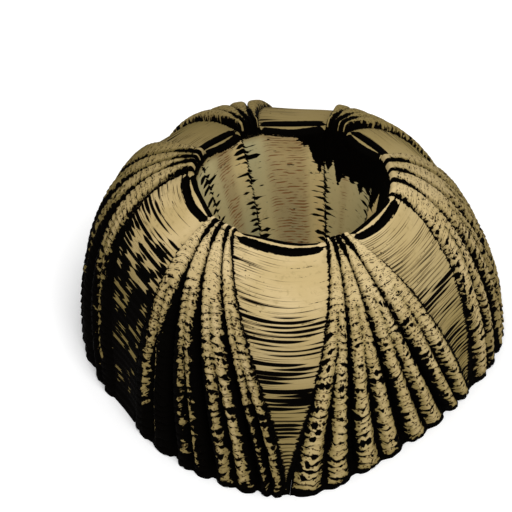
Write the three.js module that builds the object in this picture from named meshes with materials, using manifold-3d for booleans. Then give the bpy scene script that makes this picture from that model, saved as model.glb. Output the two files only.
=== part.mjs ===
// The empty shell of a whale barnacle: a low crown of six ribbed wall plates round an open chamber.
// Millimetres, +Z up. The base lies on z = 0, and the origin is the middle of the base.
// Angles are in degrees round the shell: 0 is the front (-Y), 90 is the right side (+X), 180 is the back.
// "down" runs along the wall from 0 at the rim to 1 at the base.
import * as THREE from "three";
import { mergeVertices } from "three/addons/utils/BufferGeometryUtils.js";
import Module from "manifold-3d";

const wasm = await Module();
wasm.setup();

// The crown's outline: one value every 30 degrees, starting at the front
const rimRadii = [12.3, 12.6, 14.2, 14.9, 14.4, 13.2, 12.3, 13.0, 14.6, 15.0, 13.6, 12.0];
const baseRadii = [30.6, 26.9, 26.9, 30.2, 29.4, 28.6, 28.6, 29.2, 30.0, 30.6, 28.8, 29.8];
const bellyBulges = [0.2, 0.6, 0.6, 0.4, 0.6, 0.6, 0.6, 0.8, 1.4, 1.4, 1.0, 0.4];
const shoulderShares = [0.55, 0.55, 0.5, 0.42, 0.5, 0.52, 0.52, 0.6, 0.66, 0.66, 0.6, 0.55];
const bellyShares = [0.55, 0.55, 0.5, 0.5, 0.5, 0.55, 0.55, 0.6, 0.66, 0.66, 0.6, 0.55];
const crownHeight = 32.4;
const shoulderSlope = 8;
const rimShift = -0.5;
const rimShiftEase = 1.5;

// The rim and the chamber: along a smooth flank the rim widens to a lens-shaped ledge
const rimThickness = 1.15;
const ledgeExtra = 0.85;
const rimRounding = 0.18;
const rimInnerDrop = 0.6;
const chamberRadius = 9.3;
const chamberFlare = 1.6;

// Relief of the wall, measured from its smooth outline
const crestHeight = 0.3;
const crestEase = 3;
const ribSquareness = 4;
const grooveDrift = 2;
const grooveDepthAtRim = 0.6;
const grooveDepthAtBase = 2.2;
const grooveFloorShare = 0.06;
const flankLevelAtRim = -0.1;
const flankLevelAtBase = -0.75;
const flankHollow = 0.25;
const splitDepth = 1.3;
const splitShare = 0.15;
const splitStart = 0.45;
const splitEnd = 0.82;

// Joints between the plates
const seamGap = 0.32;

// Pockets that open in the underside of each plate
const pocketShares = [0.25, 0.5, 0.75];
const pocketWall = 1.4;
const pocketOuterWall = 3.9;
const pocketInnerRadius = 13.6;
const pocketWidest = 5.4;
const pocketRoofOuter = 12;
const pocketRoofInner = 19;
const pocketUndercut = 1;
const pocketLean = 0.2;

// Seams in order round the shell: where each one meets the rim, the base and the foot of the chamber
const seams = [
  { rim: -60, base: -54.5, ease: 2, chamber: -60 },
  { rim: 23.2, base: -1.5, ease: 1.27, chamber: 10 },
  { rim: 82, base: 70.3, ease: 2, chamber: 76 },
  { rim: 112.9, base: 119, ease: 1, chamber: 112 },
  { rim: 156.5, base: 174, ease: 1.2, chamber: 150 },
  { rim: 216.2, base: 228, ease: 1.2, chamber: 205 },
];

// Plates in the same order: each one reaches from its own seam to the next.
// ribsFrom and ribsTo bound the ribbed part where a smooth flank lies between it and the seam.
// tips is how far the ribs stand up at the rim.
const plates = [
  {
    name: "lateral_plate_front",
    color: 0xc3a873,
    tips: 0.95,
    ribsTo: { rim: -41.5, base: -3, ease: 1.8 },
    grooves: { rim: [0.26, 0.5, 0.8], base: [0.36, 0.61, 0.87] },
  },
  {
    name: "carinolateral_plate_front",
    color: 0xceb684,
    tips: 0.95,
    ribsTo: { rim: 39.9, base: 67.8, ease: 1 },
    grooves: { rim: [0.22, 0.44, 0.67], base: [0.275, 0.567, 0.83] },
  },
  {
    name: "carina_plate",
    color: 0xc9b07c,
    tips: 0.95,
    grooves: { rim: [0.3, 0.56, 0.8], base: [0.25, 0.48, 0.75] },
  },
  {
    name: "carinolateral_plate_back",
    color: 0xceb684,
    tips: 1.6,
    ribsFrom: { rim: 142.3, base: 121, ease: 1.5 },
    grooves: { rim: [0.25, 0.5, 0.75], base: [0.25, 0.5, 0.75] },
  },
  {
    name: "lateral_plate_back",
    color: 0xc9b07c,
    tips: 1.9,
    ribsFrom: { rim: 202.8, base: 176, ease: 1.5 },
    grooves: { rim: [0.25, 0.5, 0.75], base: [0.22, 0.48, 0.74] },
  },
  {
    name: "rostrum_plate",
    color: 0xbfa36e,
    tips: 1.2,
    ribsFrom: { rim: 243.3, base: 230, ease: 1.2 },
    ribsTo: { rim: 260, base: 295, ease: 1.5 },
    grooves: { rim: [0.28, 0.5, 0.72], base: [0.27, 0.55, 0.82] },
  },
];

// How finely the faces are cut
const rowsDown = [0, 0.03, 0.08, 0.15, 0.23, 0.32, 0.41, 0.5, 0.59, 0.68, 0.77, 0.86, 0.94, 1];
const chamberRows = [0, 0.15, 0.35, 0.6, 0.8, 1];
const chamberColumns = 9;
const ribSteps = [0, 0.06, 0.16, 0.32, 0.5, 0.68, 0.84, 0.94];
const flankSteps = [0, 0.12, 0.5, 0.88, 1];
const mergeDistance = 1e-4;

const { clamp, lerp, smoothstep, degToRad, radToDeg, euclideanModulo } = THREE.MathUtils;

// A smooth closed curve through twelve values that stand 30 degrees apart
function aroundShell(values, angle) {
  const place = euclideanModulo(angle, 360) / 30;
  const hour = Math.floor(place);
  const part = place - hour;
  const [a, b, c, d] = [11, 0, 1, 2].map((step) => values[(hour + step) % 12]);
  const slope = c - a;
  const bend = 2 * a - 5 * b + 4 * c - d;
  const twist = 3 * b - a - 3 * c + d;
  return 0.5 * (2 * b + slope * part + bend * part ** 2 + twist * part ** 3);
}

// The smooth outline of the wall at one angle, from rim to base: x is the radius, y the height
function wallCurve(angle) {
  const rim = aroundShell(rimRadii, angle);
  const base = aroundShell(baseRadii, angle);
  const shoulder = aroundShell(shoulderShares, angle) * (base - rim);
  const bellyHeight = aroundShell(bellyShares, angle) * crownHeight;
  return new THREE.CubicBezierCurve(
    new THREE.Vector2(rim, crownHeight),
    new THREE.Vector2(rim + shoulder, crownHeight - shoulder * Math.tan(degToRad(shoulderSlope))),
    new THREE.Vector2(base + aroundShell(bellyBulges, angle), bellyHeight),
    new THREE.Vector2(base, 0),
  );
}

function shellPoint(angle, radius, height, down) {
  const turn = degToRad(angle);
  const shift = rimShift * (1 - down) ** rimShiftEase;
  return new THREE.Vector3(radius * Math.sin(turn) + shift, -radius * Math.cos(turn), height);
}

// A point of the outer face, lifted off the smooth wall by the relief
function outerPoint(angle, down, relief) {
  const curve = wallCurve(angle);
  const point = curve.getPoint(down);
  const along = curve.getTangent(down);
  const height = down === 1 ? 0 : point.y + relief * along.x;
  return shellPoint(angle, point.x - relief * along.y, height, down);
}

// A point of the chamber's wall, which narrows downwards like a funnel from inside the rim
function chamberPoint(angle, down, rimWidth) {
  const top = aroundShell(rimRadii, angle) - rimWidth;
  const radius = chamberRadius + (top - chamberRadius) * (1 - down) ** chamberFlare;
  return shellPoint(angle, radius, (crownHeight - rimInnerDrop) * (1 - down), down);
}

function edgeAngle(edge, down) {
  return edge.base + (edge.rim - edge.base) * (1 - down) ** edge.ease;
}

function chamberEdgeAngle(edge, down) {
  return lerp(edge.rim, edge.chamber, down);
}

// The two seams of a plate, with the last plate's far seam one turn on
function seamsOf(index) {
  const next = seams[(index + 1) % seams.length];
  const turn = index + 1 === seams.length ? 360 : 0;
  return [
    seams[index],
    { rim: next.rim + turn, base: next.base + turn, ease: next.ease, chamber: next.chamber + turn },
  ];
}

function flankLevel(down, across) {
  return lerp(flankLevelAtRim, flankLevelAtBase, down) - flankHollow * Math.sin(Math.PI * across);
}

function crestLevel(plate, down) {
  return crestHeight + (plate.tips - crestHeight) * (1 - down) ** crestEase;
}

function grooveLevel(plate, down) {
  return crestLevel(plate, down) - lerp(grooveDepthAtRim, grooveDepthAtBase, down);
}

// Height of a rib over the smooth wall: "across" runs from 0 to 1 over the rib.
// The grooves beside it widen downwards, and a notch splits it in two on the lower wall.
function ribLevel(plate, down, across, sideLevel) {
  const floor = grooveFloorShare * down;
  const body = clamp((across - floor) / (1 - 2 * floor), 0, 1);
  const round = Math.sqrt(1 - Math.abs(2 * body - 1) ** ribSquareness);
  const opening = splitDepth * smoothstep(down, splitStart, splitEnd);
  const notch = opening * Math.max(0, 1 - Math.abs(across - 0.5) / splitShare);
  return lerp(sideLevel, crestLevel(plate, down), round) - notch;
}

// One row across a plate's outer face: the angle and the relief of every point
function rowAcross(plate, index, down) {
  const [near, far] = seamsOf(index);
  const start = edgeAngle(near, down);
  const end = edgeAngle(far, down);
  const ribsStart = plate.ribsFrom ? edgeAngle(plate.ribsFrom, down) : start;
  const ribsEnd = plate.ribsTo ? edgeAngle(plate.ribsTo, down) : end;
  const drift = down ** grooveDrift;
  const grooves = plate.grooves.rim.map((share, i) => lerp(share, plate.grooves.base[i], drift));
  const bounds = [0, ...grooves, 1];
  const row = [];
  if (plate.ribsFrom) {
    for (const across of flankSteps.slice(0, -1)) {
      row.push({ angle: lerp(start, ribsStart, across), relief: flankLevel(down, across) });
    }
  }
  for (let rib = 0; rib + 1 < bounds.length; rib += 1) {
    const sides = [rib === 0, rib + 2 === bounds.length].map((outermost) =>
      outermost ? flankLevel(down, 0) : grooveLevel(plate, down),
    );
    for (const across of ribSteps) {
      const share = lerp(bounds[rib], bounds[rib + 1], across);
      const sideLevel = across < 0.5 ? sides[0] : sides[1];
      row.push({ angle: lerp(ribsStart, ribsEnd, share), relief: ribLevel(plate, down, across, sideLevel) });
    }
  }
  row.push({ angle: ribsEnd, relief: flankLevel(down, 0) });
  if (plate.ribsTo) {
    for (const across of flankSteps.slice(1)) {
      row.push({ angle: lerp(ribsEnd, end, across), relief: flankLevel(down, across) });
    }
  }
  return row;
}

// Keeps half the seam's gap free at both ends of a row of angles
function drawInEnds(angles, radius) {
  const inset = radToDeg(seamGap / 2 / radius);
  const start = angles[0];
  const end = angles[angles.length - 1];
  const middle = (start + end) / 2;
  const scale = (end - start - 2 * inset) / (end - start);
  return angles.map((angle) => middle + (angle - middle) * scale);
}

function outerRow(plate, index, down) {
  const row = rowAcross(plate, index, down);
  const radius = wallCurve(row[0].angle).getPoint(down).x;
  const angles = drawInEnds(row.map((stop) => stop.angle), radius);
  return angles.map((angle, i) => outerPoint(angle, down, row[i].relief));
}

// How wide the rim is at one angle
function rimWidthAt(plate, index, angle) {
  const [near, far] = seamsOf(index);
  const flanks = [];
  if (plate.ribsFrom) flanks.push([near.rim, plate.ribsFrom.rim]);
  if (plate.ribsTo) flanks.push([plate.ribsTo.rim, far.rim]);
  const ledges = flanks.map(([from, to]) => Math.sin(Math.PI * clamp((angle - from) / (to - from), 0, 1)));
  return rimThickness + ledgeExtra * Math.max(0, ...ledges);
}

// The top of the rim, half way across its thickness
function rimRow(plate, index) {
  const row = rowAcross(plate, index, 0);
  const angles = drawInEnds(row.map((stop) => stop.angle), rimRadii[0]);
  return angles.map((angle, i) => {
    const radius = aroundShell(rimRadii, angle) - rimWidthAt(plate, index, angle) / 2;
    return shellPoint(angle, radius, crownHeight + rimRounding + row[i].relief, 0);
  });
}

function chamberRow(plate, index, down) {
  const [near, far] = seamsOf(index);
  const start = chamberEdgeAngle(near, down);
  const end = chamberEdgeAngle(far, down);
  const angles = [];
  for (let column = 0; column < chamberColumns; column += 1) {
    angles.push(lerp(start, end, column / (chamberColumns - 1)));
  }
  return drawInEnds(angles, chamberRadius).map((angle) => {
    const rimWidth = down === 0 ? rimWidthAt(plate, index, angle) : rimThickness;
    return chamberPoint(angle, down, rimWidth);
  });
}

// Triangles between two lines of points that run side by side
function lace(triangles, lineA, lineB) {
  const lastA = lineA.length - 1;
  const lastB = lineB.length - 1;
  let a = 0;
  let b = 0;
  while (a < lastA || b < lastB) {
    if (b === lastB || (a < lastA && (a + 1) / lastA <= (b + 1) / lastB)) {
      triangles.push(lineA[a], lineB[b], lineA[a + 1]);
      a += 1;
    } else {
      triangles.push(lineA[a], lineB[b], lineB[b + 1]);
      b += 1;
    }
  }
}

// The closed skin of one plate: down the outer face, in along the base and up the chamber's wall
function plateGeometry(plate, index) {
  const outside = [rimRow(plate, index), ...rowsDown.map((down) => outerRow(plate, index, down))];
  const inside = chamberRows.map((down) => chamberRow(plate, index, down));
  const loop = [inside[0], ...outside, ...inside.slice().reverse()];
  const triangles = [];
  for (let i = 0; i + 1 < loop.length; i += 1) lace(triangles, loop[i], loop[i + 1]);
  const column = (rows, end) => rows.map((row) => row.at(end));
  lace(triangles, column(outside, 0), column(inside, 0));
  lace(triangles, column(inside, -1), column(outside, -1));
  return new THREE.BufferGeometry().setFromPoints(triangles);
}

// A pocket between two radial walls: a wedge that tapers inwards under a sloping roof
function pocketGeometry(index, share) {
  const [near, far] = seamsOf(index);
  const outerAngle = lerp(near.base, far.base, share);
  const innerEdges = [near, far].map((edge) => lerp(edge.chamber, edge.base, pocketLean));
  const innerAngle = lerp(innerEdges[0], innerEdges[1], share);
  const pitch = pocketShares[1] - pocketShares[0];
  const ends = [
    {
      angle: innerAngle,
      radius: pocketInnerRadius,
      pitch: degToRad(far.chamber - near.chamber) * pitch * pocketInnerRadius,
    },
    {
      angle: outerAngle,
      radius: aroundShell(baseRadii, outerAngle) - pocketOuterWall,
      pitch: degToRad(far.base - near.base) * pitch * (aroundShell(baseRadii, outerAngle) - pocketOuterWall),
    },
  ];
  const corners = ends.map((end) => {
    const halfWidth = Math.min(pocketWidest, end.pitch - pocketWall) / 2;
    const middle = shellPoint(end.angle, end.radius, 0, 1);
    const turn = degToRad(end.angle);
    const sideways = new THREE.Vector3(Math.cos(turn), Math.sin(turn), 0).multiplyScalar(halfWidth);
    return [middle.clone().sub(sideways), middle.clone().add(sideways)];
  });
  const plan = [corners[0][0], corners[1][0], corners[1][1], corners[0][1]];
  const shape = new THREE.Shape(plan.map((corner) => new THREE.Vector2(corner.x, corner.y)));
  const geometry = new THREE.ExtrudeGeometry(shape, { depth: 1, bevelEnabled: false });
  const place = geometry.getAttribute("position");
  for (let i = 0; i < place.count; i += 1) {
    const isInner = Math.hypot(place.getX(i), place.getY(i)) < (ends[0].radius + ends[1].radius) / 2;
    const roof = isInner ? pocketRoofInner : pocketRoofOuter;
    place.setZ(i, place.getZ(i) > 0.5 ? roof : -pocketUndercut);
  }
  return geometry;
}

function toSolid(geometry) {
  const bare = new THREE.BufferGeometry();
  bare.setAttribute("position", geometry.getAttribute("position"));
  if (geometry.index) bare.setIndex(geometry.index);
  const merged = mergeVertices(bare, mergeDistance);
  return new wasm.Manifold(
    new wasm.Mesh({
      numProp: 3,
      vertProperties: merged.getAttribute("position").array,
      triVerts: new Uint32Array(merged.index.array),
    }),
  );
}

function toGeometry(solid) {
  const mesh = solid.getMesh();
  const geometry = new THREE.BufferGeometry();
  geometry.setAttribute("position", new THREE.Float32BufferAttribute(mesh.vertProperties, mesh.numProp));
  geometry.setIndex([...mesh.triVerts]);
  const flat = geometry.toNonIndexed();
  flat.computeVertexNormals();
  return flat;
}

const crown = new THREE.Group();
plates.forEach((plate, index) => {
  let solid = toSolid(plateGeometry(plate, index));
  for (const share of pocketShares) solid = solid.subtract(toSolid(pocketGeometry(index, share)));
  const material = new THREE.MeshStandardMaterial({ color: plate.color, roughness: 0.85, metalness: 0 });
  const mesh = new THREE.Mesh(toGeometry(solid), material);
  mesh.name = plate.name;
  crown.add(mesh);
});

// The outline is uneven, so the crown is moved until the origin is the middle of its box
const middle = new THREE.Box3().setFromObject(crown).getCenter(new THREE.Vector3());
crown.position.set(-middle.x, -middle.y, 0);

const shell = new THREE.Group();
shell.add(crown);
export default shell;
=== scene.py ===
import math
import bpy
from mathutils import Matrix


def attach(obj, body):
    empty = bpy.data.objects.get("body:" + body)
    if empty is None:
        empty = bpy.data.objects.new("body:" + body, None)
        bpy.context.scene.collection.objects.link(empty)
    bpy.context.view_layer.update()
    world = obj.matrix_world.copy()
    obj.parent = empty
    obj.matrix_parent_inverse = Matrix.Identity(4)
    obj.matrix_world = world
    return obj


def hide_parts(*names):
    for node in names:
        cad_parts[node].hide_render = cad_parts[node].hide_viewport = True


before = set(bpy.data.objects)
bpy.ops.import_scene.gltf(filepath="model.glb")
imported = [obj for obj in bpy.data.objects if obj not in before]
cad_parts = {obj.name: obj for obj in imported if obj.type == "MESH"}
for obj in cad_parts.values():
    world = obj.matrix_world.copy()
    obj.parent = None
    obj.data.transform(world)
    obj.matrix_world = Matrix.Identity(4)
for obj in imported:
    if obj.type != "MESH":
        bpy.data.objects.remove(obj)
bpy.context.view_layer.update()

from types import SimpleNamespace

import bmesh
import bpy
import numpy as np
from mathutils import Vector

# The empty shell of a whale barnacle: six ribbed wall plates round an open chamber.
# Angles are in degrees round the shell: 0 is the front, 90 the right side, 180 the back.
# "down" runs along the wall from 0 at the rim to 1 at the base. Shapes are worked out in
# millimetres and turned to metres when the points are set.

mm = 0.001

crown = {
    # The wall is a curve from rim to base, drawn out by a shoulder near the rim and a belly near
    # the base. The lists have one value every 30 degrees, starting at the front.
    "rimRadii": [12.3, 12.6, 14.2, 14.9, 14.4, 13.2, 12.3, 13.0, 14.6, 15.0, 13.6, 12.0],
    "baseRadii": [30.6, 26.9, 26.9, 30.2, 29.4, 28.6, 28.6, 29.2, 30.0, 30.6, 28.8, 29.8],
    "bellyBulges": [0.2, 0.6, 0.6, 0.4, 0.6, 0.6, 0.6, 0.8, 1.4, 1.4, 1.0, 0.4],
    "shoulderShares": [0.55, 0.55, 0.5, 0.42, 0.5, 0.52, 0.52, 0.6, 0.66, 0.66, 0.6, 0.55],
    "bellyShares": [0.55, 0.55, 0.5, 0.5, 0.5, 0.55, 0.55, 0.6, 0.66, 0.66, 0.6, 0.55],
    "height": 32.4,
    "shoulderSlope": 8,  # degrees that the wall drops by as it leaves the rim
    "rimShift": -0.5,  # the rim's middle lies to the left of the base's
    "rimShiftEase": 1.5,
    "axisFromOrigin": (0.280, 0.988),  # the growth axis, seen from the middle of the base's box
}

rimAndChamber = {
    "thickness": 1.15,
    "ledgeExtra": 0.85,  # the rim is a wider ledge along the smooth flanks
    "rounding": 0.18,  # how far the rim's top bulges
    "innerDrop": 0.6,  # how far its inner edge lies below the outer one
    "chamberRadius": 9.3,  # at the base
    "flare": 1.6,  # how soon the chamber narrows below the rim
    "creviceDepth": 0.4,  # the dark line along the top of a smooth flank
    "creviceAt": 0.86,  # its place across the rim, from 0 inside to 1 outside
    "creviceWidth": 0.14,
    "meanRadius": 10,  # of the chamber, for the spacing of the marks on it
}

relief = {
    # heights above the smooth wall, and places down or across it as shares
    "crestHeight": 0.3,
    "crestEase": 3,  # how soon a rib's tip comes down to that height
    "ribSquareness": 4,
    "grooveDrift": 2,  # how late a groove leaves its place at the rim
    "grooveAtRim": 0.6,
    "grooveAtBase": 2.2,
    "grooveFloorShare": 0.06,  # of a rib's width, on each side
    "flankAtRim": -0.1,
    "flankAtBase": -0.75,
    "flankHollow": 0.25,
    "splitDepth": 1.3,
    "splitShare": 0.15,
    "splitStart": 0.45,
    "splitEnd": 0.82,
    "footFrom": 0.94,  # grooves, splits and flanks are packed with dirt from here to the foot
    "footFill": 0.6,
}

seams = [
    # angles at the rim, the base and the chamber's foot, and how soon the first leads to the second
    {"rim": -60, "base": -54.5, "ease": 2, "chamber": -60},
    {"rim": 23.2, "base": -1.5, "ease": 1.27, "chamber": 10},
    {"rim": 82, "base": 70.3, "ease": 2, "chamber": 76},
    {"rim": 112.9, "base": 119, "ease": 1, "chamber": 112},
    {"rim": 156.5, "base": 174, "ease": 1.2, "chamber": 150},
    {"rim": 216.2, "base": 228, "ease": 1.2, "chamber": 205},
]
seamGap = 0.05

plates = [
    # "tips" is the height of the ribs at the rim, "ribsFrom" and "ribsTo" are where they meet a
    # smooth flank, and "grooves" are the places between them at the rim and at the base
    {
        "node": "lateral_plate_front", "slot": "shell_tan", "tips": 0.95,
        "ribsTo": {"rim": -41.5, "base": -3, "ease": 1.8},
        "hatched": 0.25,  # how much of its flank is covered with hairlines, from 0 to 1
        "grooves": ([0.26, 0.5, 0.8], [0.36, 0.61, 0.87]),
    },
    {
        "node": "carinolateral_plate_front", "slot": "shell_pale", "tips": 0.95,
        "ribsTo": {"rim": 39.9, "base": 67.8, "ease": 1},
        "hatched": 1,
        "grooves": ([0.22, 0.44, 0.67], [0.275, 0.567, 0.83]),
    },
    {
        "node": "carina_plate", "slot": "shell_tan", "tips": 0.95,
        "grooves": ([0.3, 0.56, 0.8], [0.25, 0.48, 0.75]),
    },
    {
        "node": "carinolateral_plate_back", "slot": "shell_pale", "tips": 1.6,
        "ribsFrom": {"rim": 142.3, "base": 121, "ease": 1.5},
        "grooves": ([0.25, 0.5, 0.75], [0.25, 0.5, 0.75]),
    },
    {
        "node": "lateral_plate_back", "slot": "shell_tan", "tips": 1.9,
        "ribsFrom": {"rim": 202.8, "base": 176, "ease": 1.5},
        "grooves": ([0.25, 0.5, 0.75], [0.22, 0.48, 0.74]),
    },
    {
        # this plate takes the darker copy of the calcite: painted shade on the left side
        "node": "rostrum_plate", "slot": "shell_dark", "tips": 1.2,
        "ribsFrom": {"rim": 243.3, "base": 230, "ease": 1.2},
        "ribsTo": {"rim": 260, "base": 295, "ease": 1.5},
        "grooves": ([0.28, 0.5, 0.72], [0.27, 0.55, 0.82]),
        "extraComb": 0.4,  # a toothed line in the chamber that is not a seam, as a share across
    },
]

pockets = {
    "shares": (0.25, 0.5, 0.75),  # places across each plate
    "wall": 1.4,  # between two pockets
    "outerWall": 3.9,
    "innerRadius": 13.6,
    "widest": 5.4,
    "roofOuter": 12,
    "roofInner": 19,
    "undercut": 1,  # how far the cutter reaches below the base
    "lean": 0.2,  # how far the inner ends turn with the seams in the chamber
}

growth = {
    # real sizes in mm, and how much they vary
    "scaleAtRim": 0.85,  # length of the overlapping scales along a rib
    "scaleAtBase": 1.5,
    "scaleHeight": 0.24,
    "scaleRise": 0.8,  # the share of a scale that rises, before it drops to the next
    "scaleMiddle": 0.6,  # the part of its height that lies below the rib's own face
    "scaleStrengths": (0.4, 1),  # lowest and highest, as shares of the height
    "scaleBow": -0.35,  # how far a scale's sides lie behind its middle, in scales
    "scaleWander": 0.9,
    "crackDepth": 0.16,
    "crackWeights": (0.5, 1.3),  # thinnest and thickest
    "crackReaches": (0.1, 1.2),  # how far in from its rib's side a crack stays thick
    "flankLine": 0.7,  # spacing of the flanks' growth lines
    "flankWeights": (0.8, 1.2),
    "flankGroups": (0.5, 1.6),  # thinnest and thickest group of growth lines
    "flankReaches": (-0.1, 1.2),  # how far across the flank they run
    "flankWander": 0.5,
    "flankSwell": 0.05,  # height of the low swells that the growth lines follow
    "combTooth": 1.15,  # spacing of the teeth along each seam in the chamber
    "combWeights": (0.6, 1.2),
    "combLengths": (0.6, 2.2),
    "combTaper": 0.6,
    "combStagger": 0.25,  # between the teeth on both sides of a seam, in teeth
    "combWander": 0.4,
    # how far along a line its thickness changes
    "ribStrokeAtRim": 0.5,
    "ribStrokeAtBase": 1.3,
    "flankStroke": 12,
    "flankStrokeInSilt": 4,
    "combStroke": 2.5,
    "rimStroke": 5,
}

noiseCells = {
    # how many cells of smooth noise there are in each mm, across and along
    "scaleWander": (0.45, 0.3),
    "scaleRipple": (1.3, 0.9),
    "grooveJag": (1.5, 1.3),
    "flankWander": (0.12, 0.3),
    "flankGroup": (0.23, 0),  # in each growth line, not each mm
    "combWander": (0.3, 0.5),
    "skirt": (0.7, 0.35),
    "paintedShadowEdge": (1.6, 0.15),
    "rustColumn": (0.4, 0.03),
    "chamberTone": (0.22, 0.05),
}

siltAndShade = {
    # half widths in mm of the dark dirt that lies in each kind of groove; some entries below paint
    # shade and a shadow in the same black
    "grooveAtTip": 0.3,
    "tipFades": (4.5, 0.8),  # mm along the groove from the rim
    "grooveAtRim": 0.1,
    "grooveAtBase": 0.95,
    "outerGroove": 0.5,  # the share of it beside a flank or a seam
    "splitAtBase": 0.6,
    "crackAtRim": 0.05,
    "crackAtBase": 0.2,
    "sideCrack": 0.3,  # where a crack starts, at the side of its rib
    "flankLineAtRim": 0.12,
    "flankLineAtBase": 0.21,
    "hairline": 0.06,
    "rustLine": 0.12,
    "combTooth": 0.3,
    "combSeam": 0.1,
    "rimLine": 0.95,
    "innerRim": 0.22,
    "innerLedge": 0.7,  # more of it where the rim is a ledge
    "seamAtRim": 0.1,
    "seamAtBase": 0.9,
    "skirt": 0.5,  # along the foot of the wall
    "skirtRagged": (0.8, 6),  # where the shell is clean, and added where it is dirty and painted in shade
    "dirtAndShadeCover": 0.34,  # the share of a rib's width that silt and painted shade hide where the shell is dirtiest and most shaded
    "sharpAtRim": 2.5,  # near the rim the silt has a sharper edge
    # how dirty the shell is round its outside, one value every 30 degrees; the high values on the
    # left side are also painted shade
    "soilAndShadeAround": [0.32, 0.12, 0.08, 0.3, 0.3, 0.3, 0.35, 0.4, 0.7, 1.06, 1.2, 0.66],
    # a painted shadow in black hangs down inside the rim along one side of the chamber
    "paintedShadowFrom": (42, 75),
    "paintedShadowTo": (146, 172),
    "paintedShadowDepth": 7,
    "rustFrom": (1.6, 3),  # mm from the nearest toothed line
    "rustShare": (0.45, 0.8),
}

tones = {
    # how much painted shade darkens the shell, from 0 to 1
    "besideSilt": 0.5,
    "ribFoot": 0.6,
    "hairlines": 0.3,
    "dirtyAndShaded": 0.3,
    "back": 0.9,
    "backSweep": (0.35, -0.85),  # from the front to the back, as cosines
}

# what the material reads from each point: these values stand wherever a part of the shell gives
# none of its own, and on the pockets' walls
bareShell = {
    "siltAndShade": 1.0,
    "row": 0.0,
    "pitch": 1.0,
    "ink": 0.0,
    "fine": 0.0,
    "wide": 0.0,
    "shade": 0.6,
    "pitting": 0.3,
    "chamber": 0.0,
    "stain": 0.0,
}

resolution = {
    "rimRows": 14,
    "wallRows": 300,
    "baseRows": 8,  # twice the cap columns, so that the seam's faces meet the base point by point
    "chamberRows": 110,
    "ribColumns": 32,
    "flankColumns": 34,
    "capColumns": 4,
    "mergeBelow": 0.0015,
    "sharpFrom": 55,  # degrees between two faces that meet in a sharp edge
}


# Shape of the crown

def blend(low, high, share):
    return low + (high - low) * share


def smooth(value, start, end):
    share = np.clip((value - start) / (end - start), 0, 1)
    return share * share * (3 - 2 * share)


def aroundShell(values, angle):
    # a smooth curve through the twelve values
    values = np.array(values, float)
    place = (angle % 360) / 30
    hour = np.floor(place).astype(int)
    part = place - hour
    a, b, c, d = (values[(hour + step) % 12] for step in (-1, 0, 1, 2))
    bend = 2 * a - 5 * b + 4 * c - d
    twist = 3 * b - a - 3 * c + d
    return 0.5 * (2 * b + (c - a) * part + bend * part ** 2 + twist * part ** 3)


def wallAt(angle, down):
    # radius and height on the smooth wall, and the two parts of its outward normal
    rim = aroundShell(crown["rimRadii"], angle)
    base = aroundShell(crown["baseRadii"], angle)
    shoulder = aroundShell(crown["shoulderShares"], angle) * (base - rim)
    shoulderHeight = crown["height"] - shoulder * math.tan(math.radians(crown["shoulderSlope"]))
    belly = base + aroundShell(crown["bellyBulges"], angle)
    bellyHeight = aroundShell(crown["bellyShares"], angle) * crown["height"]
    radii = (rim, rim + shoulder, belly, base)
    heights = (crown["height"] + 0 * rim, shoulderHeight, bellyHeight, 0 * rim)
    up = 1 - down
    weights = (up ** 3, 3 * up * up * down, 3 * up * down * down, down ** 3)
    steps = (3 * up * up, 6 * up * down, 3 * down * down)
    radius = sum(w * r for w, r in zip(weights, radii))
    height = sum(w * h for w, h in zip(weights, heights))
    alongRadius = sum(s * (radii[i + 1] - radii[i]) for i, s in enumerate(steps))
    alongHeight = sum(s * (heights[i + 1] - heights[i]) for i, s in enumerate(steps))
    length = np.hypot(alongRadius, alongHeight)
    return radius, height, -alongHeight / length, alongRadius / length


def shellPoints(angle, radius, height, down):
    turn = np.radians(angle)
    shift = crown["rimShift"] * (1 - down) ** crown["rimShiftEase"]
    x = radius * np.sin(turn) + shift + crown["axisFromOrigin"][0]
    y = -radius * np.cos(turn) + crown["axisFromOrigin"][1]
    return np.stack(np.broadcast_arrays(x, y, height), axis=-1)


def edgeAngle(edge, down):
    return edge["base"] + (edge["rim"] - edge["base"]) * (1 - down) ** edge["ease"]


def seamsOf(index):
    # the two seams of a plate, with the last plate's far seam one turn on
    turn = 360 if index + 1 == len(seams) else 0
    far = dict(seams[(index + 1) % len(seams)])
    for key in ("rim", "base", "chamber"):
        far[key] = far[key] + turn
    return seams[index], far


# Steady random numbers

def scatter(cell, seed):
    # a number between 0 and 1 for each whole number
    value = np.sin(cell * 12.9898 + seed * 78.233) * 43758.5453
    return value - np.floor(value)


def speckle(across, along, kind, seed):
    # smooth noise between 0 and 1
    perAcross, perAlong = noiseCells[kind]
    x, y = across * perAcross, along * perAlong
    cellX, cellY = np.floor(x), np.floor(y)
    easeX, easeY = smooth(x - cellX, 0, 1), smooth(y - cellY, 0, 1)
    rows = []
    for j in (0, 1):
        left, right = (scatter((cellX + i) * 127.1 + (cellY + j) * 311.7, seed) for i in (0, 1))
        rows.append(blend(left, right, easeX))
    return blend(*rows, easeY)


# Relief of the outer face

def footOpening(down):
    return 1 - relief["footFill"] * smooth(down, relief["footFrom"], 1)


def flankLevel(down, across):
    level = blend(relief["flankAtRim"], relief["flankAtBase"], down)
    return (level - relief["flankHollow"] * np.sin(np.pi * across)) * footOpening(down)


def crestLevel(plate, down):
    tips = (1 - down) ** relief["crestEase"]
    return blend(relief["crestHeight"], plate["tips"], tips)


def grooveLevel(plate, down):
    depth = blend(relief["grooveAtRim"], relief["grooveAtBase"], down)
    return crestLevel(plate, down) - depth * footOpening(down)


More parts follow.
